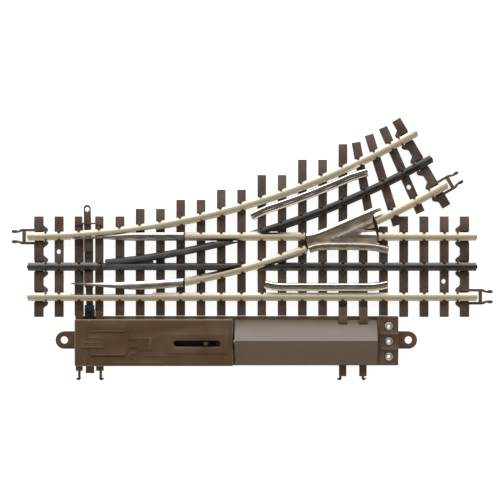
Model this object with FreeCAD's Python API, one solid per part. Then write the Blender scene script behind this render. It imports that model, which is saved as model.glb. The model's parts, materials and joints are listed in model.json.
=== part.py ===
import FreeCAD, Part
import math
import os

# Left-hand remote turnout for three-rail O-gauge track, with its switch machine.
# Millimetres, +Z up, ties rest on z = 0. The shapes are laid out in track
# coordinates: X = 0 at the rail ends of the entry, Y = 0 on the straight centre
# rail, and are moved at the end so that the origin is the middle of the footprint.

os.makedirs("parts", exist_ok=True)
V = FreeCAD.Vector

# ---------------------------------------------------------------- driving dimensions
LEG = 254.0            # straight leg, rail end to rail end
RADIUS = 457.2         # centre-line radius of the diverging route
TURN = 30.0            # angle of the diverging route, degrees
GAUGE = 31.75          # between the gauge faces of the running rails
HEAD_W = 2.35          # rail head width
FOOT_W = 4.75          # rail foot width
WEB_W = 1.1            # rail web thickness
RAIL_H = 5.46          # rail height
TIE_H = 4.3            # tie height, and height of the rail seat
TIE_W = 4.9            # tie width
TIE_PITCH = 11.495     # tie to tie
TIE_X0 = 6.0           # centre of the first tie
TIE_N = 22             # ties of the straight leg
RUN_Y = GAUGE / 2 + HEAD_W / 2          # centre line of a running rail
RAIL_TOP = TIE_H + RAIL_H

PIVOT_X = 86.0         # heel pivots of the point blades
DRIVE_X = 34.0         # throwbar pins
STROKE = 4.8           # throwbar travel
SLIDE_STROKE = 9.5     # travel of the drive slide and hand pin
THROW = math.degrees(math.asin(STROKE / (PIVOT_X - DRIVE_X)))   # blade swing, degrees
BLADE_Z = TIE_H + 0.3  # underside of the blades, clear of the ties
BLADE_TOP = RAIL_TOP - 0.15
FIT = 0.3              # clearance between moving bodies
PIN_R = 0.8            # throwbar drive pins
TB_Z0, TB_Z1 = 1.0, 4.0   # throwbar, underside and top
PIN_SLOT = 0.9         # half width of the slots the drive pins run in
HEEL_PIN_R = 1.0
HEEL_BORE_R = 1.05

BASE_T = 3.0           # switch machine base plate
CASE_TOP = 12.0        # flat roof of the machine case
RIDGE_Z = 15.0         # ridge of the coil cover
RIDGE_Y = -41.6
WALL = 1.2
EAR_HOLE_R = 2.1
EAR_L = (20.4, -41.6)
EAR_R = (215.6, -41.6)
EYELET_Y = (-33.65, -42.2, -50.8)
EYELET_X = 204.2
COIL_Y = -42.5
COIL_Z = 8.0
SLOT_Y = -43.25        # hand throw slot
HAND_X = 100.9         # hand pin at rest

# ---------------------------------------------------------------- helpers


def box(x0, x1, y0, y1, z0, z1):
    return Part.makeBox(x1 - x0, y1 - y0, z1 - z0, V(x0, y0, z0))


def cyl(x, y, z0, z1, r):
    return Part.makeCylinder(r, z1 - z0, V(x, y, z0), V(0, 0, 1))


def xcyl(x0, x1, y, z, r):
    return Part.makeCylinder(r, x1 - x0, V(x0, y, z), V(1, 0, 0))


def prism(pts, z0, z1):
    ps = [V(p[0], p[1], z0) for p in pts]
    return Part.Face(Part.makePolygon(ps + [ps[0]])).extrude(V(0, 0, z1 - z0))


def yz_prism(pts, x0, x1):
    ps = [V(x0, p[0], p[1]) for p in pts]
    return Part.Face(Part.makePolygon(ps + [ps[0]])).extrude(V(x1 - x0, 0, 0))


def band(path, w, z0, z1):
    """A strip of width w along a polyline, with mitred corners."""
    left, right = [], []
    for i, p in enumerate(path):
        a = path[max(i - 1, 0)]
        b = path[min(i + 1, len(path) - 1)]
        dirs = []
        for u, v in ((a, p), (p, b)):
            d = math.hypot(v[0] - u[0], v[1] - u[1])
            if d > 1e-9:
                dirs.append(((v[0] - u[0]) / d, (v[1] - u[1]) / d))
        tx = sum(d[0] for d in dirs) / len(dirs)
        ty = sum(d[1] for d in dirs) / len(dirs)
        m = math.hypot(tx, ty)
        k = w / 2 / (m * m)
        left.append((p[0] - ty * k, p[1] + tx * k))
        right.append((p[0] + ty * k, p[1] - tx * k))
    return prism(left + right[::-1], z0, z1)


def fuse(shapes, clean=True):
    s = shapes[0].multiFuse(shapes[1:]) if len(shapes) > 1 else shapes[0]
    if clean:
        try:
            s = s.removeSplitter()
        except Exception:
            pass
    return s


def band_pts(path, wl, wr):
    """Outline of a strip that reaches wl to the left and wr to the right of a polyline."""
    left, right = [], []
    for i, p in enumerate(path):
        a = path[max(i - 1, 0)]
        b = path[min(i + 1, len(path) - 1)]
        dirs = []
        for u, v in ((a, p), (p, b)):
            d = math.hypot(v[0] - u[0], v[1] - u[1])
            if d > 1e-9:
                dirs.append(((v[0] - u[0]) / d, (v[1] - u[1]) / d))
        tx = sum(d[0] for d in dirs) / len(dirs)
        ty = sum(d[1] for d in dirs) / len(dirs)
        m = tx * tx + ty * ty
        left.append((p[0] - ty * wl / m, p[1] + tx * wl / m))
        right.append((p[0] + ty * wr / m, p[1] - tx * wr / m))
    return left + right[::-1]


def taper(low, z0, high, z1):
    """A solid between two outlines with the same number of corners."""
    ws = []
    for pts, z in ((low, z0), (high, z1)):
        ps = [V(p[0], p[1], z) for p in pts]
        ws.append(Part.makePolygon(ps + [ps[0]]))
    return Part.makeLoft(ws, True, True)


def bar_on(path, w, z0, z1, slope_l=1.15, slope_r=0.45, drop=0.75):
    """A bar along a polyline with a sloped shoulder on each side of its flat top."""
    return fuse([prism(band_pts(path, w / 2, w / 2), z0, z1 - drop),
                 taper(band_pts(path, w / 2, w / 2), z1 - drop, band_pts(path, w / 2 - slope_l, w / 2 - slope_r), z1)], clean=False)


def foot_on(path, wl, wr, z0, top_l=0.9, top_r=0.9, flat=0.4, rise=0.55):
    """A foot flange along a polyline: wl to the left, wr to the right, with sloped upper faces."""
    return fuse([prism(band_pts(path, wl, wr), z0, z0 + flat),
                 taper(band_pts(path, wl, wr), z0 + flat, band_pts(path, wl - top_l, wr - top_r), z0 + flat + rise)], clean=False)


def turned(s, deg, x=0.0, y=0.0):
    c = s.copy()
    c.rotate(V(x, y, 0), V(0, 0, 1), deg)
    return c


def moved(s, dx=0.0, dy=0.0, dz=0.0):
    c = s.copy()
    c.translate(V(dx, dy, dz))
    return c


def chamfered(s, d, keep):
    """s with the edges that keep(middle point, edge) picks chamfered by d."""
    es = [e for e in s.Edges if keep(e.valueAt((e.FirstParameter + e.LastParameter) / 2), e)]
    try:
        c = s.makeChamfer(d, es)
        if c.isValid() and c.Volume > 0:
            return c
    except Exception:
        print("chamfer left off", len(es))
    return s


def rounded(s, r, keep):
    es = [e for e in s.Edges if keep(e.valueAt((e.FirstParameter + e.LastParameter) / 2), e)]
    try:
        c = s.makeFillet(r, es)
        if c.isValid() and c.Volume > 0:
            return c
    except Exception:
        print("fillet left off", len(es))
    return s


def arc_y(r, x):
    """Y of the circle of radius r about the turn centre, at X = x."""
    return RADIUS - math.sqrt(r * r - x * x)


def arc_a(r, x):
    """Angle along the route at X = x on radius r, degrees."""
    return math.degrees(math.asin(x / r))


def arc_p(r, a):
    return (r * math.sin(math.radians(a)), RADIUS - r * math.cos(math.radians(a)))


R_IN = RADIUS - RUN_Y      # inner running rail
R_OUT = RADIUS + RUN_Y     # outer running rail

HALF = [  # right half of the rail section, foot to crown
    (FOOT_W / 2, 0), (FOOT_W / 2, 0.5), (1.6, 0.82), (0.78, 1.25), (WEB_W / 2, 1.75),
    (WEB_W / 2, 3.2), (0.78, 3.55), (HEAD_W / 2, 3.85), (HEAD_W / 2, 5.12), (1.06, 5.34),
    (0.86, 5.42),
]
PROFILE = HALF + [(0, RAIL_H)] + [(-a, b) for a, b in HALF[::-1]]


def block(w, z0=0.0, z1=RAIL_H):
    return [(-w / 2, z0), (w / 2, z0), (w / 2, z1), (-w / 2, z1)]


def rail_x(y, x0, x1, prof=PROFILE, z=TIE_H):
    ps = [V(x0, y + p[0], z + p[1]) for p in prof]
    return Part.Face(Part.makePolygon(ps + [ps[0]])).extrude(V(x1 - x0, 0, 0))


def rail_a(r, a0, a1, prof=PROFILE, z=TIE_H):
    ps = [V(0, RADIUS - r + p[0], z + p[1]) for p in prof]
    f = Part.Face(Part.makePolygon(ps + [ps[0]]))
    f.rotate(V(0, RADIUS, 0), V(0, 0, 1), a0)
    return f.revolve(V(0, RADIUS, 0), V(0, 0, 1), a1 - a0)


N = {}

# ---------------------------------------------------------------- running rails
stock_div = rail_a(R_IN, 0, TURN)
planed = rail_a(R_IN + 3.7, arc_a(R_IN, 24.6), arc_a(R_IN, 72.0), block(2 * (3.7 - HEAD_W / 2), -0.5, 8))
# rail_a offsets run towards the turn centre for positive values, so the cutter above
# spans from the gauge face outwards into the track
stock_div = stock_div.cut(planed)
N["stock_rail_diverging"] = stock_div

stock_str = rail_x(-RUN_Y, 0, LEG)
stock_str = stock_str.cut(box(24.6, 70.5, -GAUGE / 2, -12.0, TIE_H - 0.5, RAIL_TOP + 1))
N["stock_rail_straight"] = stock_str

CL_X0 = 88.9
closure_str = rail_x(RUN_Y, CL_X0, 156.8)
closure_div = rail_a(R_OUT, arc_a(R_OUT, CL_X0 + 0.1), arc_a(R_OUT, 157.6))
N["closure_rail_straight"] = closure_str
N["closure_rail_diverging"] = closure_div
exit_str = rail_x(RUN_Y, 198.4, LEG)
exit_div = rail_a(R_OUT, arc_a(R_OUT, 196.9), TURN)
N["exit_rail_straight"] = exit_str
N["exit_rail_diverging"] = exit_div

# keep-clear blocks of the closure rails, for the centre rails that run into them
CLEAR_W = FOOT_W + 0.9
clear_str = rail_x(RUN_Y, 86.0, 159.0, block(CLEAR_W, -1, 8))
clear_div = rail_a(R_OUT, arc_a(R_OUT, 84.0), arc_a(R_OUT, 160.0), block(CLEAR_W, -1, 8))

# ---------------------------------------------------------------- centre rails
N["centre_rail_entry"] = rail_x(0, 0, 41.2)

arm_half = [(2.1, 0), (2.1, 1.2), (1.6, 1.9), (1.5, RAIL_H - 0.75), (1.25, RAIL_H - 0.3), (0.7, RAIL_H - 0.06)]
arm = arm_half + [(0, RAIL_H)] + [(-a, b) for a, b in arm_half[::-1]]
cast = fuse([
    rail_x(0, 42.4, 121.0, arm),
    rail_a(RADIUS, arc_a(RADIUS, 44.0), arc_a(RADIUS, 121.0), arm),
    # gusset web in the crotch of the fork and the entry toe
    prism([(42.4, -1.45), (46, -1.6), (66, -1.3), (72, 0.6), (70, 5.2), (60, 4.4), (46, 2.4), (42.4, 1.45)],
          TIE_H, TIE_H + 3.2),
])
cast = cast.cut(clear_str).cut(clear_div)
cast = max(cast.Solids, key=lambda s: s.Volume)
N["centre_rail_y_casting"] = cast

c_str = rail_x(0, 128.0, LEG).cut(clear_div).cut(clear_str)
N["centre_rail_straight"] = max(c_str.Solids, key=lambda s: s.Volume)
c_div = rail_a(RADIUS, arc_a(RADIUS, 122.0), TURN).cut(clear_str).cut(clear_div)
N["centre_rail_diverging"] = max(c_div.Solids, key=lambda s: s.Volume)

# ---------------------------------------------------------------- frog
FZ = TIE_H
FROG_FLOOR = FZ + 2.9
up_wing = [(157.6, 17.08), (160.6, 17.38), (163.6, 18.23), (168.0, 19.88), (172.7, 21.83), (182.6, 26.18), (193.9, 30.98), (199.3, 33.23)]
lo_wing = [(158.9, 10.2), (161.6, 11.25), (165.2, 11.95), (170.0, 12.2), (180.0, 12.25), (192.0, 12.05), (197.6, 11.4), (204.1, 9.95)]
wings = [
    bar_on(up_wing, 3.26, FZ, RAIL_TOP, 1.2, 0.45, 0.75),
    bar_on(lo_wing, 2.5, FZ, RAIL_TOP, 0.65, 0.3, 0.6), foot_on(lo_wing, 1.7, 2.8, FZ + 0.4, 0.3, 0.9),
    prism(band_pts(lo_wing, 1.7, 2.3), FZ, FZ + 0.5),
]
g_arc = R_OUT - HEAD_W / 2
nose_x = 171.9
ARC_X = (190.0, 185.0, 180.0, 175.0)
v_pts = [(nose_x, GAUGE / 2 + 0.02), (197.6, GAUGE / 2), (195.0, arc_y(g_arc, 195.0) - 0.05)]
v_pts += [(x, arc_y(g_arc, x)) for x in ARC_X]
v_pts.append((nose_x, arc_y(g_arc, nose_x) + 0.02))
v_top = [(nose_x + 2.2, GAUGE / 2 + 0.32), (197.6, GAUGE / 2 + 0.35), (195.0, arc_y(g_arc, 195.0) - 0.7)]
v_top += [(x, arc_y(g_arc, x) - 0.65) for x in ARC_X]
v_top.append((nose_x + 2.2, arc_y(g_arc, nose_x + 2.2) - 0.2))
vee = fuse([prism(v_pts, FZ, RAIL_TOP - 0.75), taper(v_pts, RAIL_TOP - 0.75, v_top, RAIL_TOP)])
# the pocket between the two legs of the vee, with a sloped side on the straight leg
p_low = [(189.4, 19.35), (199.5, 19.35), (199.5, 26.0), (196.0, 24.3), (193.9, 23.35)]
p_top = [(186.0, 17.75), (199.5, 17.75), (199.5, 26.2), (196.0, 24.5), (193.9, 23.5)]
pocket = fuse([taper(p_low, 9.36, p_top, RAIL_TOP + 0.01), prism(p_low, FROG_FLOOR + 0.35, 9.37)], clean=False)
vee = vee.cut(pocket)
floor_pts = [(157.5, 15.7), (158.6, 10.9), (165.2, 11.9), (177.8, 12.1), (197.8, 11.4), (197.5, 16.2), (194.9, 27.8), (197.0, 31.6),
             (182.6, 25.4), (172.7, 21.0), (163.6, 17.9), (157.5, 16.9)]
frog_floor = prism(floor_pts, FZ, FROG_FLOOR)
frog = fuse(wings + [vee, frog_floor])
# open wedge behind the point, where the two legs part
frog = frog.cut(prism([(189.8, 20.9), (199.0, 19.95), (199.0, 22.6)], FZ - 0.5, RAIL_TOP + 1))
frog = frog.cut(rail_a(R_OUT, arc_a(R_OUT, 150), arc_a(R_OUT, 158.15), block(9, -1, 9)))
frog = frog.cut(rail_x(RUN_Y, 150, 157.45, block(7, -1, 9)))
# flangeways run through the casting, down to its floor
flange_str = box(160.0, 200.0, GAUGE / 2 - 2.0, GAUGE / 2 - 0.001, FROG_FLOOR, RAIL_TOP + 1)
frog = frog.cut(flange_str)
exit_clear = fuse([rail_x(RUN_Y, 197.7, 210, block(FOOT_W + 0.8, -1, 9)),
                   rail_a(R_OUT, arc_a(R_OUT, 196.15), arc_a(R_OUT, 215), block(FOOT_W + 0.8, -1, 9))])
frog = frog.cut(exit_clear)
frog = max(frog.Solids, key=lambda s: s.Volume)
FROG_SCREWS = [(166.65, 15.0), (189.6, 21.0)]
for x, y in FROG_SCREWS:
    frog = frog.cut(cyl(x, y, FZ - 0.1, FZ + 2.3, 0.7))
N["frog_casting"] = frog
N["frog_screws"] = Part.makeCompound([
    cyl(x, y, 1.5, FZ + 2.2, 0.7).fuse(Part.makeCone(1.7, 0.7, 0.9, V(x, y, 0.6))) for x, y in FROG_SCREWS])

# ---------------------------------------------------------------- guard rails
GUARD_TOP = RAIL_TOP + 0.25
G_HEAD = 0.8               # offset of a guard's head from the middle of its foot, away from the rail


def guard(path, side=1):
    """Guard rail along a polyline that is the middle of its foot; the head stands to the left of it."""
    off = [((band_pts(path, G_HEAD, 0))[i][0], (band_pts(path, G_HEAD, 0))[i][1]) for i in range(len(path))]
    return fuse([foot_on(path, 2.35, 2.35, TIE_H, 0.85, 1.0), bar_on(off, 2.7, TIE_H, GUARD_TOP, 0.7, 0.3, 0.65)])


g_path = [(134.1, -10.05), (138.0, -10.95), (143.0, -11.5), (194.5, -11.5), (199.5, -10.95), (203.4, -10.05)]
guard_s = guard(g_path)
N["guard_rail_straight"] = guard_s
gr = 445.75
a0, a1 = arc_a(gr, 126.0), arc_a(gr, 191.6)
gp = []
n = 14
for i in range(n + 1):
    a = a0 + (a1 - a0) * i / n
    off = 0.0
    for e, s in ((a0, 1), (a1, -1)):
        d = abs(a - e) * math.pi / 180 * gr
        if d < 9.0:
            off = 1.4 * (1 - d / 9.0)
    gp.append(arc_p(gr + off, a))
guard_d = guard(gp)
N["guard_rail_diverging"] = guard_d

# ---------------------------------------------------------------- point blades


def blade_outline(lo, hi, xs):
    return [(x, lo(x)) for x in xs] + [(x, hi(x)) for x in reversed(xs)]


XS = [25.5, 30, 35, 40, 44, 48, 50, 53, 56, 60, 66, 72, 80, PIVOT_X]
gy = GAUGE / 2
face_in = R_IN + HEAD_W / 2            # gauge face radius of the curved stock rail


def ramp(x, x0, x1, v0, v1):
    t = min(max((x - x0) / (x1 - x0), 0), 1)
    return v0 + (v1 - v0) * t


HEEL_U = (PIVOT_X, gy + HEAD_W / 2)
SH = BLADE_TOP - 0.7
HEEL_END = 88.3            # square heel end of the blades
XE = XS + [HEEL_END]


def u_back(x):
    return min(arc_y(face_in, x) - FIT, gy + 3.45)


def u_gauge(x):
    return gy - ramp(x, 25.5, 50, 0.45, 0)


def u_wide(x):
    return u_back(x) - u_gauge(x)


def blade_foot(lo, hi, lo2, hi2, xs):
    """Foot of a blade with sloped upper faces."""
    return fuse([prism(blade_outline(lo, hi, xs), BLADE_Z, BLADE_Z + 0.35),
                 taper(blade_outline(lo, hi, xs), BLADE_Z + 0.35, blade_outline(lo2, hi2, xs), BLADE_Z + 0.95)])


u_head = fuse([
    prism(blade_outline(u_gauge, u_back, XE), BLADE_Z, SH),
    taper(blade_outline(u_gauge, u_back, XE), SH,
          blade_outline(lambda x: u_gauge(x) + 0.08 * u_wide(x), lambda x: u_back(x) - min(1.15, 0.32 * u_wide(x)), XE), BLADE_TOP)])
u_foot = blade_foot(lambda x: gy - ramp(x, 38, 58, 0.1, 1.2), lambda x: min(arc_y(face_in, x) - FIT, gy + 3.6),
                    lambda x: gy - ramp(x, 38, 58, 0.05, 0.3), lambda x: min(arc_y(face_in, x) - FIT - 0.02, gy + 3.5), XE)
u_foot = fuse([u_foot, cyl(HEEL_U[0], HEEL_U[1], BLADE_Z, BLADE_Z + 2.2, 1.75)])
PIN_U = (DRIVE_X, 13.2)
LUG0, LUG1 = TB_Z1 + 0.4, TB_Z1 + 1.2      # height of the lugs, between bar and cover plate


def lug_slot(x, y):
    """Slot for a drive pin, longer towards the tips for the swing of the blade."""
    return fuse([box(x - 0.7, x + 0.15, y - PIN_SLOT, y + PIN_SLOT, 3, 8), cyl(x - 0.7, y, 3, 8, PIN_SLOT), cyl(x + 0.15, y, 3, 8, PIN_SLOT)])


u_lug = box(DRIVE_X - 2.1, DRIVE_X + 1.6, 11.7, gy + 0.6, LUG0, LUG1)
u_slot = lug_slot(*PIN_U)
blade_u = fuse([u_head, u_foot, u_lug])
blade_u = blade_u.cut(u_slot).cut(cyl(HEEL_U[0], HEEL_U[1], BLADE_Z - 1, BLADE_Z + 1.9, HEEL_BORE_R))
N["point_blade_straight"] = blade_u

XL = [25.0, 30, 35, 40, 44, 48, 52, 56, 60, 66, 72, 80, PIVOT_X, 87.9]
HEEL_L = (PIVOT_X, arc_y(g_arc, PIVOT_X) - HEAD_W / 2)
l_low = -gy + FIT + 0.06


def l_face(x):
    return arc_y(g_arc, x)


def l_back(x):
    return max(l_face(x) - 2.35, l_low)


def l_gauge(x):
    return l_face(x) + (ramp(x, 25, 36, 0.4, 0.85) if x < 36 else ramp(x, 36, 60, 0.85, 1.25))


def l_wide(x):
    return l_gauge(x) - l_back(x)


l_head = fuse([
    prism(blade_outline(l_back, l_gauge, XL), BLADE_Z, SH),
    taper(blade_outline(l_back, l_gauge, XL), SH,
          blade_outline(lambda x: l_back(x) + 0.08 * l_wide(x), lambda x: l_gauge(x) - min(1.4, 0.36 * l_wide(x)), XL), BLADE_TOP)])
l_foot = blade_foot(lambda x: max(l_face(x) - HEAD_W - 1.2, l_low), lambda x: l_gauge(x) + 0.1,
                    lambda x: max(l_face(x) - HEAD_W - 0.3, l_low + 0.02), lambda x: l_gauge(x) + 0.05, XL)
l_foot = fuse([l_foot, cyl(HEEL_L[0], HEEL_L[1], BLADE_Z, BLADE_Z + 2.2, 1.75)])
blade_l = turned(fuse([l_head, l_foot]), -THROW, *HEEL_L)
PIN_L = (DRIVE_X, -5.9)
l_lug = box(DRIVE_X - 2.1, DRIVE_X + 1.6, -10.3, -4.55, LUG0, LUG1)
l_slot = fuse([lug_slot(*PIN_L), moved(lug_slot(*PIN_L), 0.3, 0)])
blade_l = fuse([blade_l, l_lug]).cut(l_slot).cut(cyl(HEEL_L[0], HEEL_L[1], BLADE_Z - 1, BLADE_Z + 1.9, HEEL_BORE_R))
N["point_blade_diverging"] = blade_l

heel_pins = [cyl(x, y, 1.2, BLADE_Z + 1.75, HEEL_PIN_R).fuse(cyl(x, y, 0.4, 1.2, 1.7)) for x, y in (HEEL_U, HEEL_L)]
N["heel_pivot_pins"] = Part.makeCompound(heel_pins)

# ---------------------------------------------------------------- throwbar
BAR_TOP = (33.4, 32.5)
BAR_END = (34.9, -22.9)


def bar_x(y):
    t = (BAR_TOP[1] - y) / (BAR_TOP[1] - BAR_END[1])
    return BAR_TOP[0] + t * (BAR_END[0] - BAR_TOP[0])


bar = fuse([
    prism([(BAR_TOP[0] - 1.95, 33.1), (BAR_TOP[0] + 1.95, 33.1), (BAR_END[0] + 1.9, -22.9), (BAR_END[0] - 1.9, -22.9)], TB_Z0, TB_Z1),
    cyl(BAR_TOP[0], 33.1, TB_Z0, TB_Z1, 1.95),
    cyl(BAR_END[0], BAR_END[1], TB_Z0, TB_Z1, 1.9),
    # wider between the running rails
    prism([(31.9, 15.6), (32.6, 16.3), (36.0, 16.3), (36.75, 15.6), (36.75, -12.0), (36.2, -12.6), (33.2, -12.6), (32.6, -12.0), (31.9, -11.3)],
          TB_Z0, TB_Z1),
    # a post and a cover plate over the lug of each blade
    box(31.9, 36.75, 8.7, 10.5, TB_Z0 + 0.5, 6.3),
    box(31.9, 36.75, 8.7, 15.2, 5.5, 6.3),
    box(31.9, 36.75, -4.1, -2.75, TB_Z0 + 0.5, 6.3),
    box(31.9, 36.75, -8.4, -2.75, 5.5, 6.3),
])
# grooves across the moulding
for y0 in (4.0, -0.4, 19.4, -16.5):
    bar = bar.cut(box(30.0, 38.0, y0, y0 + 0.5, TB_Z1 - 0.35, TB_Z1 + 0.1))
bar = bar.cut(box(30, 40, -26, -23.85, 0, 6))
bar = bar.cut(cyl(BAR_TOP[0], BAR_TOP[1], 0, 6, 1.35)).cut(cyl(BAR_END[0], BAR_END[1], 0, 6, 1.1))
for px, py in (PIN_U, PIN_L):
    bar = bar.cut(cyl(px, py, TB_Z0 + 1.0, 5.45, PIN_R))
N["throwbar"] = bar
N["blade_drive_pins"] = Part.makeCompound([
    cyl(px, py, TB_Z0 + 1.0, 5.4, PIN_R) for px, py in (PIN_U, PIN_L)])
N["throwbar_keeper"] = fuse([
    box(26.7, 42.3, 24.0, 24.9, TIE_H, TIE_H + 0.9),
    box(26.7, 30.3, 23.3, 25.5, TIE_H, TIE_H + 1.1),
    box(38.6, 42.3, 23.3, 25.5, TIE_H, TIE_H + 1.1),
])

# ---------------------------------------------------------------- output slide of the machine
OS0, OS1 = 1.5, 4.2
out = fuse([
    box(32.0, 37.7, -43.2, -24.1, OS0, OS1),
    box(32.0, 54.6, -43.2, -38.8, OS0, OS1),
    box(32.2, 37.6, -25.1, -21.7, TB_Z1 + 0.3, TIE_H + 1.5),
    box(32.2, 33.6, -28.4, -21.7, TB_Z1 + 0.3, TIE_H + 1.9),
    box(36.3, 37.6, -28.4, -21.7, TB_Z1 + 0.3, TIE_H + 1.9),
    box(32.2, 37.6, -28.4, -24.1, OS0, TIE_H + 0.3),
    box(32.2, 37.6, -25.1, -24.1, OS0, TIE_H + 1.5),
    cyl(BAR_END[0], BAR_END[1], 1.6, TIE_H + 0.4, 1.0),
])
FOLLOW = (52.0, -41.0)
out = fuse([out, cyl(FOLLOW[0], FOLLOW[1], OS1 - 0.2, 6.9, 1.2)])
N["output_slide"] = out

# ---------------------------------------------------------------- ties
ties = []          # (bottom point, top point, width)
tops = {5: 32.8, 6: 32.8, 7: 37.9, 8: 37.9, 9: 43.65, 10: 43.65, 11: 51.95, 12: 51.95,
        13: 60.65, 14: 60.65, 15: 69.45, 16: 22.8, 17: 22.8}
for i in range(TIE_N):
    x = TIE_X0 + TIE_PITCH * i
    top = tops.get(i, 28.5)
    wide = 5.1 if i in (0, TIE_N - 1) else TIE_W
    if i == 2:
        x, wide = 28.85, 4.9
    if i == 3:
        x, wide = 40.3, 4.5
    # ties beside the switch machine end at its base plate
    ties.append(((x, -27.75 if 2 <= i <= 17 else -28.5), (x, top), wide))
ties.append(((194.6, 22.8), (185.9, 70.5), TIE_W))
ties.append(((209.2, 23.4), (193.2, 74.8), TIE_W))
ties.append(((222.5, 30.7), (201.1, 78.9), TIE_W))
ties.append(((237.2, 34.2), (208.6, 83.3), 5.1))
END_TIES = (0, TIE_N - 1, len(ties) - 1)


def tie_solid(t, extra=0.0, z0=0.0, z1=TIE_H):
    (x0, y0), (x1, y1), w = t
    d = math.hypot(x1 - x0, y1 - y0)
    ux, uy = (x1 - x0) / d, (y1 - y0) / d
    h = w / 2 + extra
    return prism([(x0 + uy * h, y0 - ux * h), (x1 + uy * h, y1 - ux * h),
                  (x1 - uy * h, y1 + ux * h), (x0 - uy * h, y0 + ux * h)], z0, z1)


RAILS = [  # (kind, position, first X, last X)
    ("S", -RUN_Y, 0, LEG), ("S", 0.0, 0, 121.0), ("S", 0.0, 136.0, LEG), ("S", RUN_Y, CL_X0, 156.8), ("S", RUN_Y, 198, LEG),
    ("A", R_IN, 0, R_IN * math.sin(math.radians(TURN))), ("A", RADIUS, 44, 119),
    ("A", RADIUS, 130, RADIUS * math.sin(math.radians(TURN))), ("A", R_OUT, CL_X0, 158.0),
    ("A", R_OUT, 197, R_OUT * math.sin(math.radians(TURN))),
]


def crossing(t, rail):
    """Where a tie's centre line meets a rail: (x, y, rail direction in degrees), or None."""
    (x0, y0), (x1, y1), w = t
    kind, pos, xa, xb = rail
    dx, dy = x1 - x0, y1 - y0
    if kind == "S":
        s = (pos - y0) / dy
        if not 0.01 < s < 0.99:
            return None
        x = x0 + s * dx
        return (x, pos, 0.0) if xa <= x <= xb else None
    best = None
    a = dx * dx + dy * dy
    b = 2 * (x0 * dx + (y0 - RADIUS) * dy)
    c = x0 * x0 + (y0 - RADIUS) ** 2 - pos * pos
    disc = b * b - 4 * a * c
    if disc < 0:
        return None
    for sg in (-1, 1):
        s = (-b + sg * math.sqrt(disc)) / (2 * a)
        if 0.01 < s < 0.99:
            x, y = x0 + s * dx, y0 + s * dy
            if xa <= x <= xb:
                best = (x, y, arc_a(pos, x))
    return best


bodies = [tie_solid(t) for t in ties]
WEB = 2.6
web_top = 3.5
webs = [
    box(TIE_X0, 247.0, -RUN_Y - WEB / 2, -RUN_Y + WEB / 2, 0, web_top),
    box(TIE_X0, 118.0, -WEB / 2, WEB / 2, 0, web_top),
    box(130.0, 247.0, -WEB / 2, WEB / 2, 0, web_top),
    box(90.0, 156.0, RUN_Y - WEB / 2, RUN_Y + WEB / 2, 0, web_top),
    box(199.0, 247.0, RUN_Y - WEB / 2, RUN_Y + WEB / 2, 0, web_top),
    rail_a(R_IN, arc_a(R_IN, TIE_X0), TURN - 0.85, block(WEB, 0, web_top), 0),
    rail_a(RADIUS, arc_a(RADIUS, 50.0), arc_a(RADIUS, 116.0), block(WEB, 0, web_top), 0),
    rail_a(RADIUS, arc_a(RADIUS, 131.0), TURN - 0.85, block(WEB, 0, web_top), 0),
    rail_a(R_OUT, arc_a(R_OUT, 90.0), arc_a(R_OUT, 157.0), block(WEB, 0, web_top), 0),
    rail_a(R_OUT, arc_a(R_OUT, 198.0), TURN - 0.85, block(WEB, 0, web_top), 0),
    # bed under the frog
    prism([(155.9, 18.2), (155.9, 9.2), (160.5, 10.4), (163.5, 12.6), (199.4, 13.4), (199.4, 18.5), (197.2, 27.0), (194.0, 28.4), (181.0, 24.4), (169.0, 20.0), (159.0, 18.2)], 0, web_top),
    # pad beside the lower guard rail
    box(178.2, 189.7, -14.7, -13.7, 0, web_top),
]
webs = [w.cut(box(31.2, 37.95, -27.0, 36.0, TB_Z0 - 0.3, 6)) for w in webs]

# end ties: windows round each rail, and spring clips that grip its foot
windows, clips = [], []
for k in END_TIES:
    for r in RAILS:
        c = crossing(ties[k], r)
        if not c:
            continue
        x, y, ang = c
        w = box(-3.6, 3.6, -FOOT_W / 2 - 0.75, FOOT_W / 2 + 0.75, 1.2, 9)
        windows.append(moved(turned(w, ang), x, y))
        sgn = 1.0 if k == 0 else -1.0
        for s in (-1, 1):
            q0 = FOOT_W / 2 + 0.25
            hook = [(-1.2, q0 + 0.45), (2.5, q0 + 0.45), (3.2, q0 + 0.1), (4.0, q0 - 0.08), (4.8, q0 + 0.1), (5.15, q0 + 0.6),
                    (5.15, q0 + 1.4), (4.8, q0 + 2.1), (4.1, q0 + 2.7), (3.3, q0 + 3.25), (2.5, q0 + 4.1), (-1.2, q0 + 4.3)]
            hook = [(sgn * a, s * b) for a, b in hook]
            arm_b = prism(hook, 0.6, TIE_H)
            knob = cyl(sgn * 4.05, s * (q0 + 1.0), 0.6, TIE_H + 0.6, 1.02)
            clips.append(moved(turned(arm_b.fuse(knob), ang), x, y))
            # seat between the clips
        seat = box(-2.4, 2.4, -2.3, 2.3, 0.0, TIE_H)
        clips.append(moved(turned(seat, ang), x, y))
        foot = box(-2.4, 2.4, -3.6, 3.6, 0.0, 1.25)
        clips.append(moved(turned(foot, ang), x, y))


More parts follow.
